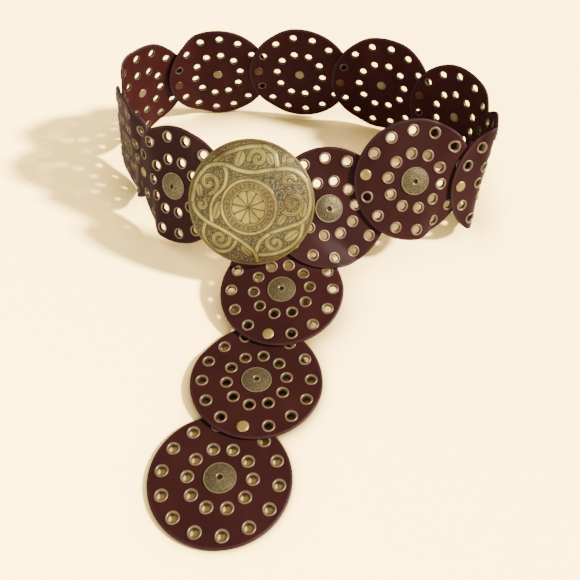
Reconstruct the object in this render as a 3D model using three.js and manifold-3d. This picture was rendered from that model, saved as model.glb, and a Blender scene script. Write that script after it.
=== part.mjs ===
// Concho belt: thirteen round leather discs riveted edge over edge into one long row, a brass
// concho in the middle of each, and a domed brass buckle. The row is worn as a loop: the buckle
// hooks the last disc to the fourth, and the first three discs hang on as a tail, laid forward.
// Units are millimetres, +Z is up and the belt stands on z = 0. Seen from the front, the tail
// points towards -Y and the row runs round the loop counter-clockwise from above.
import * as THREE from "three";
import { mergeVertices } from "three/addons/utils/BufferGeometryUtils.js";
import Module from "manifold-3d";

// Leather discs
const disc_diameter = 100;
const leather_thickness = 2.4;
const rivet_circle_radius = 41;
const eyelet_circle_radius = 22.6;
const eyelet_hole_diameter = 5.8;
const eyelets_in_inner_ring = 10;
const holes_in_outer_ring = 14;
const disc_sides = 32;
// Width beside each lap that stays flat, so that two discs can turn about their rivet
const turn_room = 5;
// Width round the concho that stays flat
const concho_room = 1.5;

// Room between two lapped discs for the flanges of their eyelets
const layer_gap = 0.8;
// Room that a rivet or a shank keeps to the leather it holds
const seat_gap = 0.3;

// Conchos: a stamped brass disc with a small tube standing in its middle, riveted through
const concho_diameter = 23;
const concho_edge = 0.7;
const concho_crown = 0.7;
const concho_tube_diameter = 6.4;
const concho_tube_height = 0.9;
const concho_shank_diameter = 4;
const button_diameter = 9;
const button_thickness = 0.7;
const concho_sides = 12;

// Rivets that join the discs
const rivet_head_diameter = 9;
const rivet_head_edge = 0.5;
const rivet_head_crown = 0.7;
const rivet_shank_diameter = 3.6;
const rivet_sides = 8;

// Buckle: a domed round plate, and the bar behind it that joins the two ends of the loop
const buckle_diameter = 101;
const buckle_height = 12;
const buckle_wall = 1.6;
const buckle_lip = 1.2;
const buckle_heading = -5;
const buckle_lean = 33;
const buckle_shift_right = 5;
const buckle_shift_up = 1;
const buckle_clearance = 1.2;
// Leather within this much of the plate's outline still counts as covered by it
const cover_margin = 1;
// The dome falls away from its middle with this power of the distance
const dome_power = 2.4;
const buckle_sides = 32;
const wheel_diameter = 45;
const wheel_band = 2.6;
const wheel_relief = 0.5;
const bar_width = 8;
const bar_thickness = 2;
const bar_stand_off = 2.6;
// The stand on the bar's middle carries the plate
const stand_diameter = 6;
const hook_reach = 3;
const catch_length = 7;
const catch_width = 4.8;
const catch_thickness = 2;
// The hole of the outer ring, counted from the rivet to the next disc, that takes the hook
const hook_hole = 5;

// How each disc lies, from the tip of the tail round to the buckle, in whole and half degrees.
// heading turns its face from the front (0) towards the right (90) and the back (180), lean
// tips the face up to the sky, and slope is how much the row climbs across the disc.
const disc_rows = [
  { name: "disc_01", heading: -14, lean: 90, slope: 83.5 },
  { name: "disc_02", heading: -14, lean: 93, slope: 92 },
  { name: "disc_03", heading: -22, lean: 78, slope: 97 },
  { name: "disc_04", heading: 12, lean: 40, slope: 36 },
  { name: "disc_05", heading: 10, lean: 31, slope: -13 },
  { name: "disc_06", heading: 77, lean: -4, slope: -9.5 },
  { name: "disc_07", heading: 130, lean: -2, slope: 7.5 },
  { name: "disc_08", heading: 159, lean: 1, slope: -5 },
  { name: "disc_09", heading: 171, lean: 3, slope: 4 },
  { name: "disc_10", heading: -175, lean: 6, slope: -7 },
  { name: "disc_11", heading: -132, lean: 7, slope: 8 },
  { name: "disc_12", heading: -60, lean: 2, slope: -5 },
  { name: "disc_13", heading: -34, lean: 24, slope: 7 },
];

// The way the lapped leather faces at each rivet, and last at the post of the buckle
const rivet_rows = [
  { name: "rivet_01", heading: -14, lean: 90 },
  { name: "rivet_02", heading: -30, lean: 80 },
  { name: "rivet_03", heading: 12, lean: 53 },
  { name: "rivet_04", heading: -1, lean: 32 },
  { name: "rivet_05", heading: 26, lean: 16 },
  { name: "rivet_06", heading: 98, lean: -6 },
  { name: "rivet_07", heading: 147, lean: 0 },
  { name: "rivet_08", heading: 172, lean: 3 },
  { name: "rivet_09", heading: -178, lean: 6 },
  { name: "rivet_10", heading: -152, lean: 8 },
  { name: "rivet_11", heading: -83, lean: 6 },
  { name: "rivet_12", heading: -57, lean: 11 },
  { name: "post", heading: -14, lean: 29 },
];

const hooked_disc = 3;
const last_disc = disc_rows.length - 1;
const disc_radius = disc_diameter / 2;
// A disc is flat under its concho and where it laps its neighbours, and bends between the two
const bend_start = concho_diameter / 2 + concho_room;
const bend_end = 2 * rivet_circle_radius - disc_radius - turn_room;
const degrees_per_facet = 18;

const wasm = await Module();
wasm.setup();

const radians = THREE.MathUtils.degToRad;
const at = (x, y, z) => new THREE.Vector3(x, y, z);
const leather = () => new THREE.MeshStandardMaterial({ color: 0x4c1d1e, roughness: 0.45, metalness: 0 });
const antique = () => new THREE.MeshStandardMaterial({ color: 0x6b6248, roughness: 0.5, metalness: 0.9 });
const pale_brass = () => new THREE.MeshStandardMaterial({ color: 0xc9b27a, roughness: 0.3, metalness: 1 });
const buckle_brass = () => new THREE.MeshStandardMaterial({ color: 0xa08a4e, roughness: 0.4, metalness: 1 });

// Solids and meshes
function solid_of(geometry) {
  const bare = geometry.clone();
  bare.deleteAttribute("normal");
  bare.deleteAttribute("uv");
  const merged = mergeVertices(bare, 1e-4);
  const vertProperties = new Float32Array(merged.attributes.position.array);
  const triVerts = new Uint32Array(merged.index.array);
  return new wasm.Manifold(new wasm.Mesh({ numProp: 3, vertProperties, triVerts }));
}

function geometry_of(positions) {
  const geometry = new THREE.BufferGeometry();
  geometry.setAttribute("position", new THREE.Float32BufferAttribute(positions, 3));
  const merged = mergeVertices(geometry, 1e-4);
  merged.computeVertexNormals();
  return merged;
}

function triangles_of(solid) {
  const mesh = solid.getMesh();
  const positions = [];
  for (const vertex of mesh.triVerts) {
    const base = vertex * mesh.numProp;
    positions.push(mesh.vertProperties[base], mesh.vertProperties[base + 1], mesh.vertProperties[base + 2]);
  }
  return positions;
}

function named_mesh(name, geometry, material, frame, position) {
  const mesh = new THREE.Mesh(geometry, material);
  mesh.name = name;
  mesh.setRotationFromMatrix(new THREE.Matrix4().makeBasis(frame.u, frame.v, frame.n));
  mesh.position.copy(position);
  return mesh;
}

// A turned piece whose profile is [radius, height] pairs, standing along +Z
function turned(profile, sides) {
  const points = profile.map(([radius, height]) => new THREE.Vector2(radius, height));
  return new THREE.LatheGeometry(points, sides).rotateX(Math.PI / 2);
}

// Directions
function facing(heading, lean) {
  const h = radians(heading);
  const l = radians(lean);
  return at(Math.sin(h) * Math.cos(l), -Math.cos(h) * Math.cos(l), Math.sin(l));
}

// u runs along the row, v across it and n out of the disc's face
function frame_of({ heading, lean, slope }) {
  const n = facing(heading, lean);
  const level = at(Math.cos(radians(heading)), Math.sin(radians(heading)), 0);
  const rise = n.clone().cross(level);
  const s = radians(slope);
  const u = level.clone().multiplyScalar(Math.cos(s)).addScaledVector(rise, Math.sin(s));
  return { u, v: n.clone().cross(u), n };
}

// The bend and the twist that turn a disc's middle to the leather at its rivet
function flex_towards(frame, normal, side) {
  const along = normal.dot(frame.u) * side;
  return { bend: Math.atan2(along, normal.dot(frame.n)), twist: Math.asin(normal.dot(frame.v)) };
}

// The point of a bent disc that is s along the row, y across it and z above its mid-surface, all
// in the disc's own frame, and the way that the leather faces there
function bent_point(flex, s, y, z) {
  const side = s < 0 ? -1 : 1;
  const { bend, twist } = side > 0 ? flex.out : flex.in;
  const reach = Math.abs(s);
  const share = THREE.MathUtils.clamp((reach - bend_start) / (bend_end - bend_start), 0, 1);
  const turn = bend * share;
  const roll = twist * share;
  const arc = Math.abs(bend) > 1e-6 ? (bend_end - bend_start) / bend : 0;
  const flat = arc ? Math.min(reach, bend_start) : Math.min(reach, bend_end);
  const beyond = Math.max(reach - bend_end, 0);
  const along = flat + arc * Math.sin(turn) + beyond * Math.cos(turn);
  const drop = arc * (1 - Math.cos(turn)) + beyond * Math.sin(turn);
  const across = at(-side * Math.sin(roll) * Math.sin(turn), Math.cos(roll), -Math.sin(roll) * Math.cos(turn));
  const normal = at(side * Math.cos(roll) * Math.sin(turn), Math.sin(roll), Math.cos(roll) * Math.cos(turn));
  const point = at(side * along, 0, -drop).addScaledVector(across, y).addScaledVector(normal, z);
  return { point, normal };
}

function to_world(frame, vector) {
  return frame.u.clone().multiplyScalar(vector.x).addScaledVector(frame.v, vector.y)
    .addScaledVector(frame.n, vector.z);
}

// The chain: each disc is placed from the rivet that it shares with the one before it
function lay_out_row() {
  const lap = leather_thickness + layer_gap;
  const discs = [];
  let rivet_point = null;
  disc_rows.forEach((row, index) => {
    const frame = frame_of(row);
    const before = index ? facing(rivet_rows[index - 1].heading, rivet_rows[index - 1].lean) : frame.n;
    const after = facing(rivet_rows[index].heading, rivet_rows[index].lean);
    const flex = { in: flex_towards(frame, before, -1), out: flex_towards(frame, after, 1) };
    const to_first = to_world(frame, bent_point(flex, -rivet_circle_radius, 0, 0).point);
    const to_last = to_world(frame, bent_point(flex, rivet_circle_radius, 0, 0).point);
    const centre = index
      ? rivet_point.clone().addScaledVector(before, lap).sub(to_first)
      : at(0, 0, button_thickness + seat_gap + leather_thickness / 2);
    rivet_point = centre.clone().add(to_last);
    discs.push({ name: row.name, frame, flex, centre, rivet_point, after });
  });
  return discs;
}

// Leather
function polygon(radius, sides, x = 0, y = 0) {
  const points = [];
  for (let k = 0; k < sides; k += 1) {
    const angle = (2 * Math.PI * (k + 0.5)) / sides;
    points.push(new THREE.Vector2(x + radius * Math.cos(angle), y + radius * Math.sin(angle)));
  }
  return points;
}

// A punch whose flats, not its corners, lie at the radius
function punch(radius, sides, x, y) {
  return new THREE.Shape(polygon(radius / Math.cos(Math.PI / sides), sides, x, y));
}

function outer_hole_place(k) {
  const angle = (2 * Math.PI * k) / holes_in_outer_ring;
  return [rivet_circle_radius * Math.cos(angle), rivet_circle_radius * Math.sin(angle)];
}

function extruded(shapes, depth) {
  const plate = new THREE.ExtrudeGeometry(shapes, { depth, bevelEnabled: false });
  return solid_of(plate.translate(0, 0, -depth / 2));
}

// Everything that is cut out of one disc
function punches(index) {
  const shapes = [punch(concho_shank_diameter / 2 + seat_gap, 6, 0, 0)];
  for (let k = 0; k < eyelets_in_inner_ring; k += 1) {
    const angle = (2 * Math.PI * k) / eyelets_in_inner_ring;
    const [x, y] = [eyelet_circle_radius * Math.cos(angle), eyelet_circle_radius * Math.sin(angle)];
    shapes.push(punch(eyelet_hole_diameter / 2, 6, x, y));
  }
  const rivet_hole = rivet_shank_diameter / 2 + seat_gap;
  shapes.push(punch(rivet_hole, 6, rivet_circle_radius, 0));
  if (index > 0) shapes.push(punch(rivet_hole, 6, -rivet_circle_radius, 0));
  if (index === hooked_disc) shapes.push(punch(eyelet_hole_diameter / 2, 6, ...outer_hole_place(hook_hole)));
  return extruded(shapes, 3 * leather_thickness);
}

// The lines across the disc at which its facets meet
function fold_lines(flex) {
  const lines = [];
  for (const [side, { bend, twist }] of [[-1, flex.in], [1, flex.out]]) {
    const turn = THREE.MathUtils.radToDeg(Math.hypot(bend, twist));
    if (turn < 0.5) continue;
    const facets = Math.ceil(turn / degrees_per_facet);
    for (let k = 0; k <= facets; k += 1) {
      lines.push(side * (bend_start + ((bend_end - bend_start) * k) / facets));
    }
  }
  return lines.sort((a, b) => a - b);
}

// The part of a round outline whose x lies between low and high
function clipped(outline, low, high) {
  const points = [];
  outline.forEach((point, index) => {
    const next = outline[(index + 1) % outline.length];
    if (point.x > low && point.x < high) points.push(point);
    const cuts = [low, high].filter((x) => (point.x - x) * (next.x - x) < 0);
    cuts.sort((a, b) => Math.abs(a - point.x) - Math.abs(b - point.x));
    for (const x of cuts) {
      const share = (x - point.x) / (next.x - point.x);
      points.push(new THREE.Vector2(x, point.y + share * (next.y - point.y)));
    }
  });
  return points;
}

// The disc is made as flat strips between its fold lines, each strip is bent, and the strips are
// sewn together along the lines
function bent_disc(index, flex) {
  const lines = fold_lines(flex);
  const edges = [-disc_diameter, ...lines, disc_diameter];
  const cut_out = punches(index);
  const outline = polygon(disc_radius, disc_sides);
  const positions = [];
  for (let k = 0; k + 1 < edges.length; k += 1) {
    const blank = extruded([new THREE.Shape(clipped(outline, edges[k], edges[k + 1]))], leather_thickness);
    const strip = triangles_of(blank.subtract(cut_out));
    const line_at = (x) => lines.find((line) => Math.abs(x - line) < 1e-4);
    for (let i = 0; i < strip.length; i += 9) {
      const line = line_at(strip[i]);
      const on_cut = line !== undefined && line_at(strip[i + 3]) === line && line_at(strip[i + 6]) === line;
      if (on_cut) continue;
      for (let corner = i; corner < i + 9; corner += 3) {
        const s = line_at(strip[corner]) ?? strip[corner];
        positions.push(...bent_point(flex, s, strip[corner + 1], strip[corner + 2]).point.toArray());
      }
    }
  }
  return geometry_of(positions);
}

// Brass on the discs
function concho_shape() {
  const base = leather_thickness / 2 + seat_gap;
  const edge = base + concho_edge;
  const crown = edge + concho_crown;
  const tube = crown + concho_tube_height;
  return turned([
    [0, tube],
    [concho_tube_diameter / 2, tube],
    [concho_tube_diameter / 2, crown],
    [concho_diameter / 2, edge],
    [concho_diameter / 2, base],
    [concho_shank_diameter / 2, base],
    [concho_shank_diameter / 2, -base],
    [button_diameter / 2, -base],
    [button_diameter / 2, -base - button_thickness],
    [0, -base - button_thickness],
  ].reverse(), concho_sides);
}

// A rivet through layers of leather whose faces lie at low and high along its axis
function rivet_profile(low, high) {
  return [
    [0, low - seat_gap - button_thickness],
    [rivet_head_diameter / 2, low - seat_gap - button_thickness],
    [rivet_head_diameter / 2, low - seat_gap],
    [rivet_shank_diameter / 2, low - seat_gap],
    [rivet_shank_diameter / 2, high + seat_gap],
    [rivet_head_diameter / 2, high + seat_gap],
    [rivet_head_diameter / 2, high + seat_gap + rivet_head_edge],
    [rivet_head_diameter / 4, high + seat_gap + rivet_head_edge + rivet_head_crown],
    [0, high + seat_gap + rivet_head_edge + rivet_head_crown],
  ];
}

// Any frame whose n is the given direction
function frame_along(n, towards) {
  const v = n.clone().cross(towards).normalize();
  return { u: v.clone().cross(n), v, n };
}

// Buckle
function dome(radius, height, share) {
  return [radius * share, height * (1 - share ** dome_power)];
}

const inner_radius = buckle_diameter / 2 - buckle_wall;
const inner_height = buckle_height - buckle_lip - buckle_wall;
const inside = [1, 0.85, 0.45, 0].map((share) => dome(inner_radius, inner_height, share));

// The height of the plate's inside at a distance from its middle
function ceiling_at(distance) {
  const inner = inside.findIndex(([radius]) => radius <= distance);
  const [near, low] = inside[inner];
  const [far, high] = inside[inner - 1];
  return low + ((high - low) * (distance - near)) / (far - near);
}

function buckle_shape() {
  const outer = (shares) => shares.map((share) => dome(buckle_diameter / 2, buckle_height - buckle_lip, share));
  const wheel = wheel_diameter / buckle_diameter;
  const band = (wheel_diameter - 2 * wheel_band) / buckle_diameter;
  const raise = ([radius, height]) => [radius, height + wheel_relief];
  const outside = [
    ...outer([0, band]), ...outer([band, wheel]).map(raise), ...outer([wheel, 0.72, 0.9, 1]),
    [buckle_diameter / 2, -buckle_lip],
  ];
  return turned([...outside, [inner_radius, -buckle_lip], ...inside].reverse(), buckle_sides);
}

// The post through the last disc, the bar behind the plate, the stand between the two and the hook
// through the hooked disc, as one piece in world coordinates
function hook_shape(post, hook, plate, plate_centre) {
  const face = leather_thickness / 2;
  const bar_low = face + bar_stand_off;
  const lift = (end, height) => end.point.clone().addScaledVector(end.normal, height);
  const from = lift(post, bar_low + bar_thickness / 2);
  const to = lift(hook, bar_low + bar_thickness / 2);
  const along = to.clone().sub(from);
  const bar_frame = frame_along(plate.n.clone().addScaledVector(along, -plate.n.dot(along) / along.lengthSq())
    .normalize(), along);
  const overhang = rivet_shank_diameter + 2 * seat_gap;
  const bar_middle = from.clone().add(to).multiplyScalar(0.5);
  const bar_length = along.length() + overhang;
  const bar = placed(new THREE.BoxGeometry(bar_length, bar_width, bar_thickness), bar_frame, bar_middle);
  const below = bar_middle.clone().sub(plate_centre).dot(plate.n);
  const stand_foot = bar_middle.clone().addScaledVector(plate.n, -below);
  const stand_top = ceiling_at(stand_foot.distanceTo(plate_centre) + stand_diameter / 2) - seat_gap;
  const stand = turned([
    [0, below], [stand_diameter / 2, below], [stand_diameter / 2, stand_top], [0, stand_top],
  ], rivet_sides);
  const shank = rivet_shank_diameter / 2;
  const post_shape = turned([
    [0, -face - seat_gap - button_thickness], [button_diameter / 2, -face - seat_gap - button_thickness],
    [button_diameter / 2, -face - seat_gap], [shank, -face - seat_gap],
    [shank, bar_low + bar_thickness / 2], [0, bar_low + bar_thickness / 2],
  ], rivet_sides);
  const catch_middle = -face - hook_reach + catch_thickness / 2;
  const hook_stem = turned([
    [0, catch_middle], [shank, catch_middle],
    [shank, bar_low + bar_thickness / 2], [0, bar_low + bar_thickness / 2],
  ], rivet_sides);
  const hook_frame = frame_along(hook.normal, along);
  const catch_bar = new THREE.BoxGeometry(catch_length, catch_width, catch_thickness);
  catch_bar.translate((catch_length - catch_width) / 2, 0, catch_middle);
  return [
    bar,
    placed(stand, plate, stand_foot),
    placed(post_shape, frame_along(post.normal, along), post.point),
    placed(hook_stem, hook_frame, hook.point),
    placed(catch_bar, hook_frame, hook.point),
  ];
}

function placed(geometry, frame, position) {
  const matrix = new THREE.Matrix4().makeBasis(frame.u, frame.v, frame.n).setPosition(position);
  return geometry.clone().applyMatrix4(matrix);
}

function joined(shapes) {
  return geometry_of(triangles_of(shapes.map(solid_of).reduce((sum, next) => sum.add(next))));
}

// The plate stands just clear of all leather that it covers
function plate_place(frame, near, covered) {
  const target = near.clone().addScaledVector(frame.u, buckle_shift_right).addScaledVector(frame.v, buckle_shift_up);
  let highest = -Infinity;
  for (const point of covered) {
    const offset = point.clone().sub(target);
    const height = offset.dot(frame.n);
    const radial = offset.addScaledVector(frame.n, -height).length();
    if (radial < buckle_diameter / 2 + cover_margin) highest = Math.max(highest, height);
  }
  return target.addScaledVector(frame.n, highest + buckle_clearance + buckle_lip);
}

// Assembly
const world = { u: at(1, 0, 0), v: at(0, 1, 0), n: at(0, 0, 1) };
const belt = new THREE.Group();
const row = lay_out_row();
const skins = row.map((disc, index) => bent_disc(index, disc.flex));

row.forEach((disc, index) => {
  const number = disc.name.slice(-2);
  belt.add(named_mesh(disc.name, skins[index], leather(), disc.frame, disc.centre));
  belt.add(named_mesh(`concho_${number}`, concho_shape(), antique(), disc.frame, disc.centre));
  if (index === last_disc) return;
  const layers = leather_thickness * 1.5 + layer_gap;
  const profile = rivet_profile(-leather_thickness / 2, layers);
  const frame = frame_along(disc.after, disc.frame.u);
  belt.add(named_mesh(`rivet_${number}`, turned(profile, rivet_sides), pale_brass(), frame, disc.rivet_point));
});

const hooked = row[hooked_disc];
const hook_place = bent_point(hooked.flex, ...outer_hole_place(hook_hole), 0);
const hook_end = {
  point: hooked.centre.clone().add(to_world(hooked.frame, hook_place.point)),
  normal: to_world(hooked.frame, hook_place.normal),
};
const post_end = { point: row[last_disc].rivet_point, normal: row[last_disc].after };
const plate_frame = frame_of({ heading: buckle_heading, lean: buckle_lean, slope: 0 });
const covered = [];
for (const index of [hooked_disc - 1, hooked_disc, last_disc]) {
  const skin = skins[index].attributes.position;
  for (let k = 0; k < skin.count; k += 1) {
    const point = new THREE.Vector3().fromBufferAttribute(skin, k);
    covered.push(row[index].centre.clone().add(to_world(row[index].frame, point)));
  }
}
const middle = hook_end.point.clone().add(post_end.point).multiplyScalar(0.5);
const plate_centre = plate_place(plate_frame, middle, covered);
belt.add(named_mesh("buckle_plate", buckle_shape(), buckle_brass(), plate_frame, plate_centre));
const hook_solid = joined(hook_shape(post_end, hook_end, plate_frame, plate_centre));
belt.add(named_mesh("buckle_hook", hook_solid, buckle_brass(), world, at(0, 0, 0)));

// The origin is below the middle of the belt's box, on the surface it stands on
belt.updateMatrixWorld(true);
const box = new THREE.Box3().setFromObject(belt, true);
const shift = at(-(box.min.x + box.max.x) / 2, -(box.min.y + box.max.y) / 2, -box.min.z);
belt.position.copy(shift);

export default belt;
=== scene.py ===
import math

import bpy
import numpy as np
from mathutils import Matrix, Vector
from mathutils.geometry import delaunay_2d_cdt


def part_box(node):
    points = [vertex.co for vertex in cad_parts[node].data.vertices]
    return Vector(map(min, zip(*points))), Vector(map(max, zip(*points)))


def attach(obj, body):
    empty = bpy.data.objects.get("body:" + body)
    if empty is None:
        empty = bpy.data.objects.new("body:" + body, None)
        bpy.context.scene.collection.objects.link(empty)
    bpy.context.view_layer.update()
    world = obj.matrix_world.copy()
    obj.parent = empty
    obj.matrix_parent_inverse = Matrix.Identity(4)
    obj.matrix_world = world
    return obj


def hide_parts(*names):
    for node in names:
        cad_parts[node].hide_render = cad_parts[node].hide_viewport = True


MM = 0.001

# Leather discs, as in the part's source
DISC_RADIUS = 50 * MM
LEATHER = 2.4 * MM
RIVET_CIRCLE = 41 * MM
EYELET_CIRCLE = 22.6 * MM
EYELETS_IN_INNER_RING = 10
HOLES_IN_OUTER_RING = 14
BEND_START = 13 * MM
BEND_END = 27 * MM
LAYER_GAP = 0.8 * MM
SEAT_GAP = 0.3 * MM
EDGE_ROUND = 1.0 * MM
EDGE_WIDE = 1.7 * MM
EDGE_STEPS = 5
EDGE_SUPPORT = 0.5 * MM
OUTLINE_SIDES = 120
HOLE_SIDES = 20
GRID = 4 * MM

# Brass on the discs
EYELET_RADIUS = 5.0 * MM
LEATHER_HOLE = 3.7 * MM
CONCHO_RADIUS = 11.5 * MM
BUTTON_THICKNESS = 0.7 * MM

# Buckle, as in the part's source
BUCKLE_RADIUS = 50.5 * MM
DOME_HEIGHT = 10.8 * MM
BUCKLE_WALL = 1.6 * MM
BUCKLE_LIP = 1.2 * MM
BUCKLE_ROW = {"heading": -5, "lean": 33, "slope": 0}
DOME_POWER = 2.4

# How each disc lies, and how the lapped leather faces at each rivet, as in the part's source
DISC_ROWS = [
    {"name": "disc_01", "heading": -14, "lean": 90, "slope": 83.5},
    {"name": "disc_02", "heading": -14, "lean": 93, "slope": 92},
    {"name": "disc_03", "heading": -22, "lean": 78, "slope": 97},
    {"name": "disc_04", "heading": 12, "lean": 40, "slope": 36},
    {"name": "disc_05", "heading": 10, "lean": 31, "slope": -13},
    {"name": "disc_06", "heading": 77, "lean": -4, "slope": -9.5},
    {"name": "disc_07", "heading": 130, "lean": -2, "slope": 7.5},
    {"name": "disc_08", "heading": 159, "lean": 1, "slope": -5},
    {"name": "disc_09", "heading": 171, "lean": 3, "slope": 4},
    {"name": "disc_10", "heading": -175, "lean": 6, "slope": -7},
    {"name": "disc_11", "heading": -132, "lean": 7, "slope": 8},
    {"name": "disc_12", "heading": -60, "lean": 2, "slope": -5},
    {"name": "disc_13", "heading": -34, "lean": 24, "slope": 7},
]
RIVET_ROWS = [
    {"name": "rivet_01", "heading": -14, "lean": 90},
    {"name": "rivet_02", "heading": -30, "lean": 80},
    {"name": "rivet_03", "heading": 12, "lean": 53},
    {"name": "rivet_04", "heading": -1, "lean": 32},
    {"name": "rivet_05", "heading": 26, "lean": 16},
    {"name": "rivet_06", "heading": 98, "lean": -6},
    {"name": "rivet_07", "heading": 147, "lean": 0},
    {"name": "rivet_08", "heading": 172, "lean": 3},
    {"name": "rivet_09", "heading": -178, "lean": 6},
    {"name": "rivet_10", "heading": -152, "lean": 8},
    {"name": "rivet_11", "heading": -83, "lean": 6},
    {"name": "rivet_12", "heading": -57, "lean": 11},
    {"name": "post", "heading": -14, "lean": 29},
]
LAST = len(DISC_ROWS) - 1

# Camera of the photograph, in the part's frame
CAMERA_PLACE = (-5.97 * MM, -416.83 * MM, 477.2 * MM)
CAMERA_PITCH = 49.7165
CAMERA_LENS = 46.36
SENSOR = 36

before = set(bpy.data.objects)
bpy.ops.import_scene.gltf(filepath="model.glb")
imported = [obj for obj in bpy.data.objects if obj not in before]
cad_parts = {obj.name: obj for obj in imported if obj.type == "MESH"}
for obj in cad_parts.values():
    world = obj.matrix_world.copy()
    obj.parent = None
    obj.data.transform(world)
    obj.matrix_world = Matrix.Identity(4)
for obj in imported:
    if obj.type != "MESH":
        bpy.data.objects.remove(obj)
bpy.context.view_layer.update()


# Camera
def make_camera():
    data = bpy.data.cameras.new("camera")
    data.sensor_width = SENSOR
    data.lens = CAMERA_LENS
    data.clip_start = 0.01
    camera = bpy.data.objects.new("camera", data)
    camera.location = CAMERA_PLACE
    camera.rotation_euler = (math.radians(90 - CAMERA_PITCH), 0, 0)
    bpy.context.scene.collection.objects.link(camera)
    bpy.context.scene.camera = camera


make_camera()


# Materials
class Shader:
    """A node material with short ways to add what the finishes below share."""

    def __init__(self, name, roughness=0.5, metallic=0.0):
        self.material = bpy.data.materials.new(name)
        self.material.use_nodes = True
        self.tree = self.material.node_tree
        self.surface = self.tree.nodes["Principled BSDF"]
        self.surface.inputs["Roughness"].default_value = roughness
        self.surface.inputs["Metallic"].default_value = metallic
        self.place = self.node("ShaderNodeTexCoord").outputs["Object"]

    def node(self, kind, **settings):
        node = self.tree.nodes.new(kind)
        for key, value in settings.items():
            setattr(node, key, value)
        return node

    def link(self, source, target):
        self.tree.links.new(source, target)

    def noise(self, size, detail=3.0, roughness=0.55):
        node = self.node("ShaderNodeTexNoise")
        node.inputs["Scale"].default_value = 1 / size
        node.inputs["Detail"].default_value = detail
        node.inputs["Roughness"].default_value = roughness
        self.link(self.place, node.inputs["Vector"])
        return node.outputs["Fac"]

    def cells(self, size):
        node = self.node("ShaderNodeTexVoronoi")
        node.inputs["Scale"].default_value = 1 / size
        self.link(self.place, node.inputs["Vector"])
        return node.outputs["Distance"]

    def ramp(self, source, stops):
        node = self.node("ShaderNodeValToRGB")
        elements = node.color_ramp.elements
        while len(elements) < len(stops):
            elements.new(0.5)
        for element, (position, color) in zip(elements, stops):
            element.position = position
            element.color = (*color, 1)
        self.link(source, node.inputs["Fac"])
        return node.outputs["Color"]

    def math(self, operation, first, second=None):
        node = self.node("ShaderNodeMath", operation=operation)
        for socket, value in zip(node.inputs, (first, second)):
            if value is None:
                continue
            if isinstance(value, (int, float)):
                socket.default_value = value
            else:
                self.link(value, socket)
        return node.outputs["Value"]

    def mix(self, share, first, second):
        node = self.node("ShaderNodeMix", data_type="RGBA")
        for key, value in (("Factor", share), ("A", first), ("B", second)):
            socket = next(s for s in node.inputs if s.name == key and s.enabled)
            if isinstance(value, (int, float)):
                socket.default_value = value
            elif isinstance(value, tuple):
                socket.default_value = (*value, 1)
            else:
                self.link(value, socket)
        return next(s for s in node.outputs if s.enabled)

    def attribute(self, name):
        return self.node("ShaderNodeAttribute", attribute_name=name)

    def bump(self, heights):
        """heights are (source, depth) pairs, each depth in metres."""
        normal = None
        for source, depth in heights:
            node = self.node("ShaderNodeBump")
            node.inputs["Strength"].default_value = 1.0
            node.inputs["Distance"].default_value = depth
            self.link(source, node.inputs["Height"])
            if normal:
                self.link(normal, node.inputs["Normal"])
            normal = node.outputs["Normal"]
        self.link(normal, self.surface.inputs["Normal"])

    def color(self, source):
        self.link(source, self.surface.inputs["Base Color"])

    def rough(self, source):
        self.link(source, self.surface.inputs["Roughness"])


def grey(value):
    return (value, value, value)


def leather_material(name, dark, mid, light, low, high, grain):
    shader = Shader(name)
    clouds = shader.noise(38 * MM, 4)
    tone = shader.ramp(clouds, [(0.3, dark), (0.52, mid), (0.75, light)])
    fine = shader.noise(0.9 * MM, 3)
    shader.color(shader.mix(shader.math("MULTIPLY", fine, 0.35), tone, dark))
    wear = shader.noise(9 * MM, 5)
    shader.rough(shader.ramp(wear, [(0.3, grey(low)), (0.7, grey(high))]))
    pores = shader.cells(1.1 * MM)
    shader.bump([(wear, 0.12 * MM), (pores, grain), (fine, 0.04 * MM)])
    return shader


def make_leather():
    front = leather_material("leather_front", (0.034, 0.0072, 0.0060), (0.048, 0.0096, 0.0080),
                             (0.064, 0.0134, 0.0112), 0.5, 0.64, 0.05 * MM)
    front.surface.inputs["Specular IOR Level"].default_value = 0.1
    front.surface.inputs["Coat Weight"].default_value = 0.14
    front.surface.inputs["Coat Roughness"].default_value = 0.55
    front.surface.inputs["Sheen Weight"].default_value = 0.8
    front.surface.inputs["Sheen Roughness"].default_value = 0.3
    front.surface.inputs["Sheen Tint"].default_value = (1.0, 0.72, 0.62, 1)
    back = leather_material("leather_back", (0.048, 0.0052, 0.0042), (0.068, 0.0075, 0.006),
                            (0.095, 0.0115, 0.009), 0.55, 0.72, 0.08 * MM)
    back.surface.inputs["Specular IOR Level"].default_value = 0.2
    # The edge colour is lighter than the faces: a painted highlight where the rounded edge catches the light
    edge = leather_material("leather_edge", (0.040, 0.010, 0.010), (0.062, 0.016, 0.017),
                            (0.095, 0.028, 0.030), 0.42, 0.56, 0.1 * MM)
    edge.surface.inputs["Specular IOR Level"].default_value = 0.32
    return [front.material, back.material, edge.material]


def brass_material(name, roughness, metallic, patches, tones, grain, hollow=None, polish=None):
    """Plain brass in two tones. Patches is the size of a patch of one tone, hollow the dark colour that
    paints shade down its holes and recesses, polish (size, smoothest, roughest) and grain (size, detail,
    depth)."""
    shader = Shader(name, roughness, metallic)
    dark, light = tones
    tone = shader.ramp(shader.noise(patches, 4), [(0.3, dark), (0.7, light)])
    # Painted shade: the hollow colour darkens the points that lie down a hole or recess
    if hollow:
        tone = shader.mix(shader.attribute("inside").outputs["Fac"], tone, hollow)
    shader.color(tone)
    if polish:
        size, low, high = polish
        shader.rough(shader.ramp(shader.noise(size, 3), [(0.3, grey(low)), (0.7, grey(high))]))
    size, detail, depth = grain
    shader.bump([(shader.noise(size, detail), depth)])
    return shader.material


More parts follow.
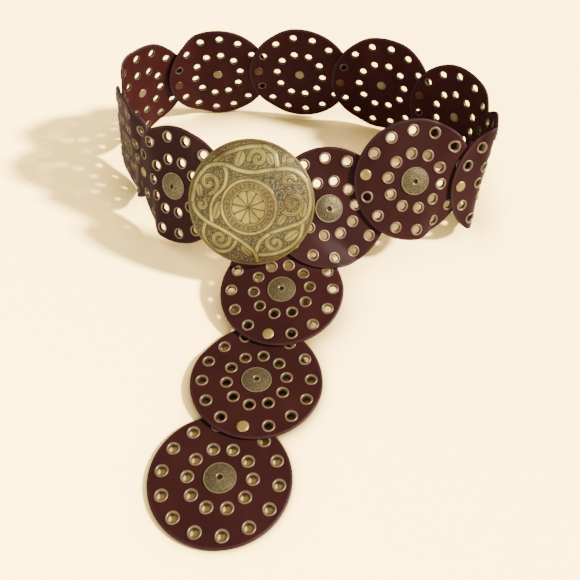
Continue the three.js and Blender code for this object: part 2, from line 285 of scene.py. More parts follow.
def make_eyelet_brass():
    # The hollow colour paints shade down the eyelet barrels
    return brass_material("eyelet_brass", 0.3, 0.6, patches=7 * MM,
                          tones=[(0.30, 0.185, 0.10), (0.45, 0.29, 0.17)], hollow=(0.17, 0.13, 0.055),
                          polish=(3 * MM, 0.34, 0.5), grain=(1.5 * MM, 2, 0.03 * MM))


def make_rivet_brass():
    return brass_material("rivet_brass", 0.35, 0.6, patches=6 * MM,
                          tones=[(0.52, 0.36, 0.08), (0.76, 0.55, 0.15)],
                          polish=(2 * MM, 0.3, 0.5), grain=(1.2 * MM, 2, 0.04 * MM))


def make_button_brass():
    return brass_material("button_brass", 0.45, 0.8, patches=5 * MM,
                          tones=[(0.11, 0.045, 0.025), (0.21, 0.095, 0.055)],
                          grain=(1.2 * MM, 2, 0.04 * MM))


def make_plain_brass():
    """The tubes of the conchos, and the hidden side of the buckle with its hook."""
    # The hollow colour paints shade on the floor of the concho tubes
    return brass_material("plain_brass", 0.42, 0.8, patches=12 * MM,
                          tones=[(0.32, 0.24, 0.10), (0.52, 0.40, 0.19)], hollow=(0.085, 0.065, 0.03),
                          grain=(1.5 * MM, 3, 0.05 * MM))


# Rows of punched grains run out from the middle of a concho
GRAIN_ROWS_APART = 0.95
GRAINS_ROUND = 66


def make_concho_brass():
    shader = Shader("concho_brass", 0.42, 0.7)
    local = shader.attribute("local").outputs["Vector"]
    parts = shader.node("ShaderNodeSeparateXYZ")
    shader.link(local, parts.inputs["Vector"])
    right, up = parts.outputs["X"], parts.outputs["Y"]
    reach = shader.math("SQRT", shader.math("ADD", shader.math("MULTIPLY", right, right),
                                            shader.math("MULTIPLY", up, up)))
    turn = shader.math("ARCTAN2", up, right)
    rows = shader.math("SINE", shader.math("MULTIPLY", reach, 2 * math.pi / GRAIN_ROWS_APART))
    spokes = shader.math("SINE", shader.math("MULTIPLY", turn, GRAINS_ROUND))
    grains = shader.math("MULTIPLY", rows, spokes)
    ragged = shader.math("ADD", shader.math("MULTIPLY", grains, 0.2), shader.noise(0.8 * MM, 3))
    tone = shader.ramp(ragged, [(0.3, (0.070, 0.050, 0.022)), (0.52, (0.20, 0.144, 0.065)),
                                (0.8, (0.56, 0.44, 0.23))])
    rim = shader.ramp(shader.math("DIVIDE", reach, CONCHO_RADIUS / MM), [(0.92, grey(0)), (0.95, grey(1))])
    shader.color(shader.mix(rim, tone, (0.40, 0.31, 0.16)))
    shader.rough(shader.ramp(ragged, [(0.3, grey(0.6)), (0.8, grey(0.32))]))
    shader.bump([(ragged, 0.12 * MM)])
    return shader.material


def make_buckle_brass():
    shader = Shader("buckle_brass", 0.36, 0.45)
    line = shader.attribute("line").outputs["Fac"]
    ground = shader.attribute("ground").outputs["Fac"]
    clouds = shader.noise(26 * MM, 5, 0.6)
    patina = shader.attribute("patina").outputs["Fac"]
    high = shader.attribute("raised").outputs["Fac"]
    low_gold = shader.ramp(clouds, [(0.36, (0.46, 0.33, 0.06)), (0.64, (0.76, 0.57, 0.13))])
    high_gold = shader.ramp(clouds, [(0.34, (0.82, 0.61, 0.11)), (0.5, (1.0, 0.81, 0.19)),
                                     (0.64, (1.0, 0.88, 0.28))])
    gold = shader.mix(high, low_gold, high_gold)
    fine = shader.noise(1.4 * MM, 3)
    gold = shader.mix(shader.math("MULTIPLY", fine, 0.25), gold, (0.46, 0.32, 0.09))
    smoke = shader.ramp(shader.noise(8 * MM, 4, 0.6), [(0.4, grey(0)), (0.66, grey(0.7))])
    gold = shader.mix(smoke, gold, (0.33, 0.25, 0.07))
    # Browning, partly painted shade at the dome's edge and at its top and bottom
    browned_and_shaded = shader.math("MULTIPLY", patina, shader.math("MULTIPLY", clouds, 1.6))
    gold = shader.mix(browned_and_shaded, gold, (0.27, 0.145, 0.04))
    punched = shader.cells(1.15 * MM)
    speck = shader.ramp(punched, [(0.10, (0.66, 0.50, 0.19)), (0.32, (0.33, 0.255, 0.10)),
                                  (0.58, (0.050, 0.048, 0.035))])
    gold = shader.mix(shader.math("MULTIPLY", ground, 0.85), gold, speck)
    # The cut-line colour, which also carries the painted shade over the rim band
    shader.color(shader.mix(shader.math("MULTIPLY", line, 0.95), gold, (0.055, 0.042, 0.02)))
    rough = shader.ramp(fine, [(0.3, grey(0.34)), (0.7, grey(0.5))])
    shader.rough(shader.mix(ground, rough, grey(0.62)))
    stipple = shader.math("MULTIPLY", punched, ground)
    shader.bump([(stipple, 0.25 * MM), (fine, 0.03 * MM)])
    return shader.material


# Directions and the lay of the row
def facing(heading, lean):
    turn, tip = math.radians(heading), math.radians(lean)
    return np.array([math.sin(turn) * math.cos(tip), -math.cos(turn) * math.cos(tip), math.sin(tip)])


def axes_of(row):
    """u runs along the row, v across it and n out of the face."""
    n = facing(row["heading"], row["lean"])
    turn, climb = math.radians(row["heading"]), math.radians(row["slope"])
    level = np.array([math.cos(turn), math.sin(turn), 0])
    u = level * math.cos(climb) + np.cross(n, level) * math.sin(climb)
    return np.array([u, np.cross(n, u), n])


class Disc:
    """One disc: flat under its concho and at its laps, and bent between them."""

    def __init__(self, row, before, after):
        self.name = row["name"]
        self.axes = axes_of(row)
        before = self.axes[2] if before is None else before
        self.bends = [self.bend_towards(before, -1), self.bend_towards(after, 1)]
        self.centre = np.zeros(3)

    def bend_towards(self, normal, side):
        u, v, n = self.axes
        return math.atan2(normal @ u * side, normal @ n), math.asin(normal @ v)

    def places(self, plan):
        """The places of points given on the flat disc as (along, across, above its middle)."""
        s, y, z = np.asarray(plan, float).T
        side = np.where(s < 0, -1.0, 1.0)
        bend = np.where(side > 0, self.bends[1][0], self.bends[0][0])
        twist = np.where(side > 0, self.bends[1][1], self.bends[0][1])
        reach = np.abs(s)
        share = np.clip((reach - BEND_START) / (BEND_END - BEND_START), 0, 1)
        turn, roll = bend * share, twist * share
        curved = np.abs(bend) > 1e-6
        arc = np.where(curved, (BEND_END - BEND_START) / np.where(curved, bend, 1), 0)
        flat = np.minimum(reach, np.where(curved, BEND_START, BEND_END))
        beyond = np.maximum(reach - BEND_END, 0)
        along = flat + arc * np.sin(turn) + beyond * np.cos(turn)
        drop = arc * (1 - np.cos(turn)) + beyond * np.sin(turn)
        across = np.stack([-side * np.sin(roll) * np.sin(turn), np.cos(roll),
                           -np.sin(roll) * np.cos(turn)], 1)
        normal = np.stack([side * np.cos(roll) * np.sin(turn), np.sin(roll),
                           np.cos(roll) * np.cos(turn)], 1)
        middle = np.stack([side * along, 0 * s, -drop], 1)
        local = middle + across * y[:, None] + normal * z[:, None]
        return self.centre + local @ self.axes

    def tangents(self, s):
        """The directions along and across the leather, at a place on its middle line."""
        step = 0.1 * MM
        here, ahead, beside = self.places([(s, 0, 0), (s + step, 0, 0), (s, step, 0)])
        return (ahead - here) / step, (beside - here) / step


def lay_out_row():
    lap = LEATHER + LAYER_GAP
    low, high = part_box("concho_01")
    start = np.array([(low.x + high.x) / 2, (low.y + high.y) / 2,
                      low.z + BUTTON_THICKNESS + SEAT_GAP + LEATHER / 2])
    discs = []
    rivet = before = None
    for row, turn in zip(DISC_ROWS, RIVET_ROWS):
        after = facing(turn["heading"], turn["lean"])
        disc = Disc(row, before, after)
        first = disc.places([(-RIVET_CIRCLE, 0, 0)])[0]
        disc.centre = start if rivet is None else rivet + before * lap - first
        rivet = disc.places([(RIVET_CIRCLE, 0, 0)])[0]
        before = after
        discs.append(disc)
    return discs


# Meshes
class Mesh:
    """Vertices and faces gathered from several shapes, with a material number for each face."""

    def __init__(self):
        self.points = []
        self.faces = []
        self.slots = []
        self.values = {}

    def add(self, points, faces, slot=0, **values):
        base = len(self.points)
        for name in values:
            self.values.setdefault(name, [0.0] * base)
        self.points.extend(points)
        for name, column in self.values.items():
            column.extend(values.get(name, [0.0] * len(points)))
        self.faces.extend(tuple(base + i for i in face) for face in faces)
        self.slots.extend([slot] * len(faces))

    def build(self, name, materials, places=None, sharp_angle=35):
        points = np.asarray(self.points, float)
        if places:
            points = places(points)
        data = bpy.data.meshes.new(name)
        data.from_pydata(points.tolist(), [], self.faces)
        data.polygons.foreach_set("material_index", self.slots)
        data.polygons.foreach_set("use_smooth", [True] * len(self.faces))
        for material in materials:
            data.materials.append(material)
        for key, column in self.values.items():
            attribute = data.attributes.new(key, "FLOAT", "POINT")
            attribute.data.foreach_set("value", column)
        data.set_sharp_from_angle(angle=math.radians(sharp_angle))
        data.update()
        piece = bpy.data.objects.new(name, data)
        bpy.context.scene.collection.objects.link(piece)
        return piece


def join_rings(rings, sides):
    """Faces between rings of point numbers. A ring of one point closes a shape."""
    faces = []
    for low, high in zip(rings, rings[1:]):
        for k in range(sides):
            a, b = low[k % len(low)], low[(k + 1) % len(low)]
            c, d = high[(k + 1) % len(high)], high[k % len(high)]
            faces.append(tuple(dict.fromkeys((a, b, c, d))))
    return faces


def lathe(profile, sides, middle=(0, 0), closed=False):
    """A turned shape from [radius, height] pairs, standing on a disc's plan."""
    points, rings = [], []
    for radius, height in profile:
        if radius == 0:
            rings.append([len(points)])
            points.append((middle[0], middle[1], height))
            continue
        rings.append(range(len(points), len(points) + sides))
        for k in range(sides):
            angle = 2 * math.pi * k / sides
            points.append((middle[0] + radius * math.cos(angle), middle[1] + radius * math.sin(angle),
                           height))
    if closed:
        rings.append(rings[0])
    return points, join_rings(rings, sides)


def ring_place(radius, k, count):
    angle = 2 * math.pi * k / count
    return radius * math.cos(angle), radius * math.sin(angle)


# Eyelets of one disc: the number in the ring is counted from the rivet to the next disc
def eyelet_places(index):
    places = [ring_place(EYELET_CIRCLE, k, EYELETS_IN_INNER_RING) for k in range(EYELETS_IN_INNER_RING)]
    for k in range(1, HOLES_IN_OUTER_RING):
        if index and 2 * k == HOLES_IN_OUTER_RING:
            continue
        places.append(ring_place(RIVET_CIRCLE, k, HOLES_IN_OUTER_RING))
    return places


def circle(radius, sides, middle=(0, 0)):
    return [(middle[0] + radius * math.cos(2 * math.pi * k / sides),
             middle[1] + radius * math.sin(2 * math.pi * k / sides)) for k in range(sides)]


def loop_edges(first, count):
    return [(first + k, first + (k + 1) % count) for k in range(count)]


def leather_plan(holes):
    """The flat face of a disc, cut into triangles around its holes."""
    face_radius = DISC_RADIUS - EDGE_WIDE
    points = circle(face_radius, OUTLINE_SIDES)
    edges = loop_edges(0, OUTLINE_SIDES)
    points += circle(face_radius - EDGE_SUPPORT, OUTLINE_SIDES)
    edges += loop_edges(OUTLINE_SIDES, OUTLINE_SIDES)
    for hole in holes:
        edges += loop_edges(len(points), HOLE_SIDES)
        points += circle(LEATHER_HOLE, HOLE_SIDES, hole)
    reach = int(DISC_RADIUS / GRID)
    for i in range(-reach, reach + 1):
        for j in range(-reach, reach + 1):
            x, y = i * GRID, j * GRID
            if math.hypot(x, y) > face_radius - EDGE_SUPPORT - GRID / 3:
                continue
            if min(math.hypot(x - a, y - b) for a, b in holes) > LEATHER_HOLE + GRID / 3:
                points.append((x, y))
    scaled = [Vector((x / MM, y / MM)) for x, y in points]
    found, _, faces, *_ = delaunay_2d_cdt(scaled, edges, [], 0, 1e-6)
    plan = [(p.x * MM, p.y * MM) for p in found]
    kept = []
    for face in faces:
        x = sum(plan[i][0] for i in face) / len(face)
        y = sum(plan[i][1] for i in face) / len(face)
        if min(math.hypot(x - a, y - b) for a, b in holes) > LEATHER_HOLE * 0.98:
            kept.append(tuple(face))
    return plan, kept


def leather_mesh(holes):
    """A whole disc of leather, flat: front, back, the rounded edge and the walls of its holes."""
    front, back, edge = range(3)
    plan, faces = leather_plan(holes)
    mesh = Mesh()
    mesh.add([(x, y, LEATHER / 2) for x, y in plan], faces, front)
    mesh.add([(x, y, -LEATHER / 2) for x, y in plan], [face[::-1] for face in faces], back)
    under = len(plan)
    nearest = {}
    for i, (x, y) in enumerate(plan):
        nearest[round(x / MM, 3), round(y / MM, 3)] = i

    def found(point):
        return nearest[round(point[0] / MM, 3), round(point[1] / MM, 3)]

    for hole in holes:
        loop = [found(point) for point in circle(LEATHER_HOLE, HOLE_SIDES, hole)]
        for a, b in zip(loop, loop[1:] + loop[:1]):
            mesh.faces.append((b, a, a + under, b + under))
            mesh.slots.append(edge)
    top = [found(point) for point in circle(DISC_RADIUS - EDGE_WIDE, OUTLINE_SIDES)]
    rings = [top]
    heights = [(math.sin(a), LEATHER / 2 - EDGE_ROUND * (1 - math.cos(a)))
               for a in (math.pi / 2 * k / EDGE_STEPS for k in range(1, EDGE_STEPS + 1))]
    heights += [(out, -height) for out, height in reversed(heights)]
    for out, height in heights:
        first = len(mesh.points)
        radius = DISC_RADIUS - EDGE_WIDE + EDGE_WIDE * out
        mesh.points.extend((x, y, height) for x, y in circle(radius, OUTLINE_SIDES))
        rings.append(list(range(first, first + OUTLINE_SIDES)))
    rings.append([i + under for i in top])
    for upper, lower in zip(rings, rings[1:]):
        for k in range(OUTLINE_SIDES):
            after = (k + 1) % OUTLINE_SIDES
            mesh.faces.append((upper[after], upper[k], lower[k], lower[after]))
            mesh.slots.append(edge)
    return mesh


# Profiles, as [radius, height] pairs in millimetres above the face that each one sits on
EYELET_FRONT = [(5.0, 0.0), (4.97, 0.32), (4.75, 0.58), (4.35, 0.7), (3.9, 0.62), (3.5, 0.3), (3.25, -0.2)]
EYELET_BARREL = [(3.12, -0.8), (3.08, -1.4), (3.08, -2.2)]
EYELET_BACK = [(3.1, 0.1), (3.22, 0.26), (3.5, 0.3), (3.9, 0.22), (4.1, 0.0)]
EYELET_OUTSIDE = 3.65
EYELET_MOUTH = 3.4
# The back flange takes this share of the dark hollow colour
EYELET_BACK_DARKENING = 0.8
EYELET_SIDES = 20
THIN = 0.5


def eyelet(place, front_scale):
    """A rolled brass eyelet through the leather, with the share of the dark hollow colour at each point:
    painted shade down its barrel, and a darker back flange.
    """
    top, bottom = LEATHER / 2, -LEATHER / 2
    profile = [(r * MM, top + h * MM * front_scale) for r, h in EYELET_FRONT]
    profile += [(r * MM, top + h * MM) for r, h in EYELET_BARREL]
    profile += [(r * MM, bottom - h * MM) for r, h in EYELET_BACK]
    profile += [(EYELET_OUTSIDE * MM, bottom), (EYELET_OUTSIDE * MM, top)]
    points, faces = lathe(profile, EYELET_SIDES, place, closed=True)
    inside = []
    for radius, height in profile:
        # Painted shade down the barrel's hole; the back flange is darkened by a share of the same colour
        deep = radius < EYELET_MOUTH * MM and height > bottom
        dull = EYELET_BACK_DARKENING if height <= bottom else 0.0
        inside += [1.0 if deep else dull] * EYELET_SIDES
    return points, faces, inside


CONCHO_FACE = [(3.0, 1.8), (4.2, 1.72), (5.6, 1.56), (7.2, 1.32), (8.8, 1.02), (10.0, 0.76), (10.7, 0.62),
               (11.0, 0.74), (11.35, 0.7), (11.5, 0.5), (11.5, 0.12), (11.3, 0.0)]
CONCHO_TUBE = [(0.0, 1.1), (0.8, 1.08), (1.3, 1.0), (1.75, 0.98), (1.85, 1.3), (1.95, 1.8),
               (2.15, 2.1), (2.5, 2.25), (2.9, 2.15), (3.12, 1.85), (3.2, 1.2)]
TUBE_BORE = 2.0
TUBE_FLOOR = 1.25
CONCHO_SEAT = 0.05 * MM
BUTTON = [(0.0, 0.7), (2.4, 0.68), (3.7, 0.6), (4.3, 0.42), (4.5, 0.15), (4.5, 0.0)]
RIVET_CAP = [(0.0, 1.2), (1.6, 1.14), (2.9, 0.95), (3.8, 0.66), (4.3, 0.36), (4.5, 0.12), (4.5, 0.0)]
ROUND_SIDES = 40
SMALL_SIDES = 28


def scaled(profile, side=1, base=0.0):
    """A profile in metres, standing on the front (1) or hanging from the back (-1) of a base."""
    return [(r * MM, side * (h * MM + base)) for r, h in profile]


def concho_mesh():
    brass, pale, button = range(3)
    mesh = Mesh()
    base = LEATHER / 2 + CONCHO_SEAT
    closed_face = scaled(CONCHO_FACE, 1, base) + [(CONCHO_FACE[0][0] * MM, base)]
    points, faces = lathe(closed_face, ROUND_SIDES, closed=True)
    mesh.add(points, [face[::-1] for face in faces], brass)
    points, faces = lathe(scaled(CONCHO_TUBE, 1, base), SMALL_SIDES)
    # Painted shade on the floor of the tube's bore, through the dark hollow colour
    inside = [1.0 if z < base + TUBE_FLOOR * MM and math.hypot(x, y) < TUBE_BORE * MM else 0.0
              for x, y, z in points]
    mesh.add(points, [face[::-1] for face in faces], pale, inside=inside)
    points, faces = lathe(scaled(BUTTON, -1, base), SMALL_SIDES)
    mesh.add(points, faces, button)
    return mesh


def rivet_mesh():
    cap, button = range(2)
    mesh = Mesh()
    top = 1.5 * LEATHER + LAYER_GAP
    middle = (RIVET_CIRCLE, 0)
    points, faces = lathe(scaled(RIVET_CAP, 1, top), SMALL_SIDES, middle)
    mesh.add(points, [face[::-1] for face in faces], cap)
    points, faces = lathe(scaled(BUTTON, -1, LEATHER / 2), SMALL_SIDES, middle)
    mesh.add(points, faces, button)
    return mesh


def cover_of_next(disc, after):
    """Where the middle of the next disc lies on this disc's flat plan."""
    along, across = disc.tangents(RIVET_CIRCLE)
    onward, _ = after.tangents(-RIVET_CIRCLE)
    return RIVET_CIRCLE + RIVET_CIRCLE * (onward @ along), RIVET_CIRCLE * (onward @ across)


def own(piece, slot, *nodes):
    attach(piece, "root")
    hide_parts(*nodes)


def ride_along(piece):
    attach(piece, "root")


def build_discs(plain_brass):
    leather = make_leather()
    eyelet_brass = make_eyelet_brass()
    rivet_brass = make_rivet_brass()
    button_brass = make_button_brass()
    concho_brass = make_concho_brass()
    discs = lay_out_row()
    for index, disc in enumerate(discs):
        number = disc.name[-2:]
        holes = eyelet_places(index)
        piece = leather_mesh(holes).build("leather_" + number, leather, disc.places)
        own(piece, "leather", disc.name)
        covered = cover_of_next(disc, discs[index + 1]) if index < LAST else None
        mesh = Mesh()
        for place in holes:
            under = covered and math.dist(place, covered) < DISC_RADIUS + EYELET_RADIUS
            points, faces, inside = eyelet(place, THIN if under else 1.0)
            mesh.add(points, faces, 0, inside=inside)
        ride_along(mesh.build("eyelets_" + number, [eyelet_brass], disc.places, 60))
        mesh = concho_mesh()
        piece = mesh.build("concho_face_" + number, [concho_brass, plain_brass, plain_brass], disc.places)
        local = piece.data.attributes.new("local", "FLOAT_VECTOR", "POINT")
        local.data.foreach_set("vector", (np.asarray(mesh.points) / MM).ravel())
        own(piece, "concho", "concho_" + number)
        if index < LAST:
            piece = rivet_mesh().build("rivet_cap_" + number, [rivet_brass, button_brass], disc.places)
            own(piece, "rivet", "rivet_" + number)


# Buckle: strapwork, scrolls and a rosette in low relief. Places are (right, up) in millimetres
# from the middle of the plate.
ROSETTE = {"middle": (-0.7, -1.6), "ring": 21.4, "band": 2.7, "beads": 17.4, "bead_count": 30,
           "petals": 13.6, "count": 10, "petal_gap": 1.6, "scallop": 2.2, "hub": 6, "dot": 0.9}
# How far each ornament stands out, as a share of the relief, and how wide its cut line is
HEIGHTS = {"ring": 1, "petal": 0.45, "rim": 0.3, "strap": 1, "scroll": 0.55, "leaf": 0.55}
LINES = {"petal_ring": 0.6, "spoke": 0.85, "petal": 0.7, "dot": 0.5, "vein": 0.4}
RIM_LINE = 48.6
STRAP_WIDTH = 3.3
LINE_WIDTH = 0.8
STRAPS = [
    {"name": "upper", "points": [(-47, 0), (-44, 15.5), (-35, 27.5), (-22.5, 30.5), (-10.5, 27), (1.5, 25.8),
                                 (16, 28.3), (30, 29), (40, 23.5), (46, 12), (46.6, -2), (42, -11),
                                 (30, -16.5), (18, -21)]},
    {"name": "lower_left", "points": [(-47, 0), (-44, -8), (-35, -15.3), (-22.5, -20.5), (-10.5, -27),
                                      (-0.5, -34), (5.4, -41), (6.5, -47)]},
    {"name": "left_inner", "points": [(-22.5, 30.5), (-19.2, 22.8), (-21, 13), (-27.8, 5), (-31, -4),
                                      (-30, -17)]},
    {"name": "low_loop", "points": [(-35, -15.3), (-37.5, -26), (-33.2, -35.5), (-24.3, -40.5), (-15.5, -38),
                                    (-10.5, -31), (-10.5, -27)]},
    {"name": "low_right", "points": [(5.4, -41), (8.5, -30), (18, -21), (31, -17), (42, -11)]},
    {"name": "right_loop", "points": [(42, -11), (40, -25), (31, -34.5), (18, -40), (5.4, -41)]},
    {"name": "top_right", "points": [(19.6, 28.6), (19, 35), (16.5, 41.5), (9, 45.5)]},
    {"name": "top_left", "points": [(-33, 28.5), (-24, 36.5), (-13.5, 41.5), (-3, 44.5), (9, 45.5)]},
]
SCROLLS = [
    {"name": "top", "middle": (4.6, 36.3), "reach": 7.2, "turns": 1.25, "start": 190, "hand": -1},
    {"name": "left", "middle": (-33.5, 15.5), "reach": 8.6, "turns": 1.25, "start": -80, "hand": 1},
    {"name": "left_low", "middle": (-39, -2), "reach": 4.6, "turns": 0.9, "start": 60, "hand": -1},
    {"name": "low_left", "middle": (-23.5, -29), "reach": 8.4, "turns": 1.25, "start": 10, "hand": -1},
    {"name": "low_right", "middle": (21, -30), "reach": 8.0, "turns": 1.2, "start": 100, "hand": 1},
    {"name": "right", "middle": (33, 3), "reach": 9.6, "turns": 1.35, "start": 230, "hand": 1},
    {"name": "right_top", "middle": (29, 19.5), "reach": 5.2, "turns": 1.0, "start": 20, "hand": 1},
    {"name": "far_right", "middle": (28.5, 36.5), "reach": 4.4, "turns": 1.0, "start": 200, "hand": -1},
    {"name": "far_left", "middle": (-24, 35), "reach": 3.6, "turns": 0.9, "start": 20, "hand": 1},
]
SCROLL_WIDTH = 3.3
SCROLL_LINE = 0.65
LEAVES = [
    {"name": "top_leaf", "middle": (-9.5, 35.5), "long": 6.2, "wide": 4.0, "turn": 75},
    {"name": "left_leaf", "middle": (-25.8, -5.5), "long": 8.2, "wide": 3.6, "turn": 75},
    {"name": "far_left_leaf", "middle": (-41, 9), "long": 5.4, "wide": 2.8, "turn": 100},
    {"name": "low_leaf", "middle": (-2, -38), "long": 6.6, "wide": 3.0, "turn": 128},
    {"name": "right_leaf", "middle": (41.5, -2), "long": 6.6, "wide": 3.2, "turn": 85},
    {"name": "low_right_leaf", "middle": (33.5, -23.5), "long": 7.2, "wide": 3.6, "turn": 40},
    {"name": "top_right_leaf", "middle": (14, 36), "long": 5.4, "wide": 2.8, "turn": -60},
    {"name": "inner_leaf", "middle": (25.5, -10), "long": 5.6, "wide": 2.6, "turn": 60},
]
# Brown patches on the plate; those at the top and bottom edges also paint the dome's darker shading there
STAINS_AND_SHADE = [
    {"name": "right", "middle": (28, 8), "reach": 17},
    {"name": "left", "middle": (-33, 2), "reach": 9},
    {"name": "bottom", "middle": (-4, -49), "reach": 16},
    {"name": "bottom_left", "middle": (-30, -40), "reach": 9},
    {"name": "top", "middle": (-27, 39), "reach": 12},
]
# Browning at the plate's edge, partly painted shade of the dome's falling rim, which starts this far from
# its middle
RIM_PATINA_AND_SHADE = 0.7
RIM_DARKENING_START = 43
# Painted shade over the rim band, as a share of the dark cut-line colour
RIM_SHADE = 0.35
SPLINE_STEPS = 7
SPIRAL_STEPS = 16
SPIRAL_CLOSING = 0.86


def smooth_line(points):
    """A smooth line through a few points."""
    ends = [points[0], *points, points[-1]]
    line = []
    for a, b, c, d in zip(ends, ends[1:], ends[2:], ends[3:]):
        for k in range(SPLINE_STEPS):
            t = k / SPLINE_STEPS
            line.append([0.5 * (2 * q + (r - p) * t + (2 * p - 5 * q + 4 * r - s) * t * t
                                + (3 * q - p - 3 * r + s) * t ** 3) for p, q, r, s in zip(a, b, c, d)])
    return np.array([*line, points[-1]])


def spiral(scroll):
    steps = int(SPIRAL_STEPS * scroll["turns"])
    points = []
    for k in range(steps + 1):
        share = k / steps
        radius = scroll["reach"] * (1 - SPIRAL_CLOSING * share)
        angle = math.radians(scroll["start"]) + scroll["hand"] * 2 * math.pi * scroll["turns"] * share
        points.append((scroll["middle"][0] + radius * math.cos(angle),
                       scroll["middle"][1] + radius * math.sin(angle)))
    return np.array(points)


def distance_to(line, at):
    """The distance of every point to a line of short straight steps."""
    nearest = np.full(len(at), np.inf)
    for start, end in zip(line, line[1:]):
        step = end - start
        share = np.clip(((at - start) @ step) / (step @ step), 0, 1)
        nearest = np.minimum(nearest, np.hypot(*(at - start - share[:, None] * step).T))
    return nearest


def engraving(at):
    """For points on the plate: how deep each lies, how dark its cut line is, with painted shade over the rim
    band, how much of the dark punched ground shows there, and how brown it is, partly painted shade of the
    dome's edge."""
    reach = np.hypot(at[:, 0], at[:, 1])
    free = np.ones(len(at), bool)
    line = np.zeros(len(at))
    raised = np.zeros(len(at))

    def draw_line(distance, where=None, width=LINE_WIDTH):
        strength = np.clip(1 - np.abs(distance) / width, 0, 1)
        if where is not None:
            strength = strength * where
        np.maximum(line, strength, out=line)

    centre = at - np.array(ROSETTE["middle"])
    from_hub = np.hypot(centre[:, 0], centre[:, 1])
    turn = np.arctan2(centre[:, 1], centre[:, 0])
    half = ROSETTE["band"] / 2
    ring_edge = np.abs(from_hub - ROSETTE["ring"]) - half
    draw_line(ring_edge)
    raised[ring_edge < 0] = HEIGHTS["ring"]
    medal = from_hub < ROSETTE["ring"] + half
    free &= ~medal
    draw_line(from_hub - ROSETTE["petals"] - ROSETTE["petal_gap"], medal, LINES["petal_ring"])
    step = 2 * math.pi / ROSETTE["count"]
    swing = (turn + step / 4) % step - step / 2
    spoke = np.abs(np.abs(swing) - step / 2) * from_hub
    within = from_hub < ROSETTE["petals"]
    draw_line(spoke, within, LINES["spoke"])
    petal = from_hub - ROSETTE["petals"] + ROSETTE["scallop"] * (np.abs(swing) / (step / 2)) ** 3
    draw_line(petal, medal & (from_hub > ROSETTE["hub"]), LINES["petal"])
    raised[petal < 0] = HEIGHTS["petal"]
    draw_line(from_hub - ROSETTE["dot"], medal, LINES["dot"])
    beads = np.cos(turn * ROSETTE["bead_count"])
    beads = beads * np.clip(1.4 - np.abs(from_hub - ROSETTE["beads"]) / 1.1, 0, 1)
    line[:] = np.maximum(line, np.clip(-beads * 1.5, 0, 1) * 0.8)
    band = medal & (from_hub > ROSETTE["petals"] + 1.2) & (from_hub < ROSETTE["ring"] - half)

    rim = reach > RIM_LINE
    draw_line(reach - RIM_LINE)
    free &= ~rim
    raised[rim] = HEIGHTS["rim"]
    # Painted shade: the rim band takes a share of the dark cut-line colour
    line[rim] = np.maximum(line[rim], RIM_SHADE)
    for strap in STRAPS:
        distance = distance_to(smooth_line(strap["points"]), at) - STRAP_WIDTH / 2
        draw_line(distance, free)
        raised[(distance < 0) & free] = HEIGHTS["strap"]
        free &= distance > 0
    for scroll in SCROLLS:
        width = SCROLL_WIDTH / 2
        distance = distance_to(spiral(scroll), at) - width
        draw_line(distance, free, SCROLL_LINE)
        draw_line(distance + width, free, LINES["vein"])
        raised[(distance < 0) & free] = HEIGHTS["scroll"]
        free &= distance > 0
    for leaf in LEAVES:
        angle = math.radians(leaf["turn"])
        offset = at - np.array(leaf["middle"])
        along = offset[:, 0] * math.cos(angle) + offset[:, 1] * math.sin(angle)
        across = offset[:, 1] * math.cos(angle) - offset[:, 0] * math.sin(angle)
        shape = np.hypot(along / leaf["long"], across / leaf["wide"])
        distance = (shape - 1) * leaf["wide"]
        draw_line(distance, free, SCROLL_LINE)
        draw_line(across, free & (shape < 0.85), SCROLL_LINE)
        raised[(distance < 0) & free] = HEIGHTS["leaf"]
        free &= distance > 0
    ground = np.where(free, 1.0, 0.0)
    ground[band] = 0.6
    ground = ground * (1 - line)
    # Browning towards the rim and in patches, partly painted shade of the dome's edge
    patina = RIM_PATINA_AND_SHADE * np.clip((reach - RIM_DARKENING_START) / (RIM_LINE - RIM_DARKENING_START), 0, 1)
    for dark_patch in STAINS_AND_SHADE:
        away = np.hypot(*(at - np.array(dark_patch["middle"])).T)
        patina = np.maximum(patina, np.exp(-(away / dark_patch["reach"]) ** 2))
    return raised, line, ground, patina


PLATE_SIDES = 640
PLATE_RINGS = 104
RELIEF = 0.3 * MM
CUT = 0.25 * MM
# The relief fades out over this share of the radius at the rim
RELIEF_FADE = 0.04
BACK_SHARES = (1, 0.97, 0.9, 0.8, 0.65, 0.5, 0.3, 0.12)


def dome_height(share, height):
    return height * (1 - share ** DOME_POWER)


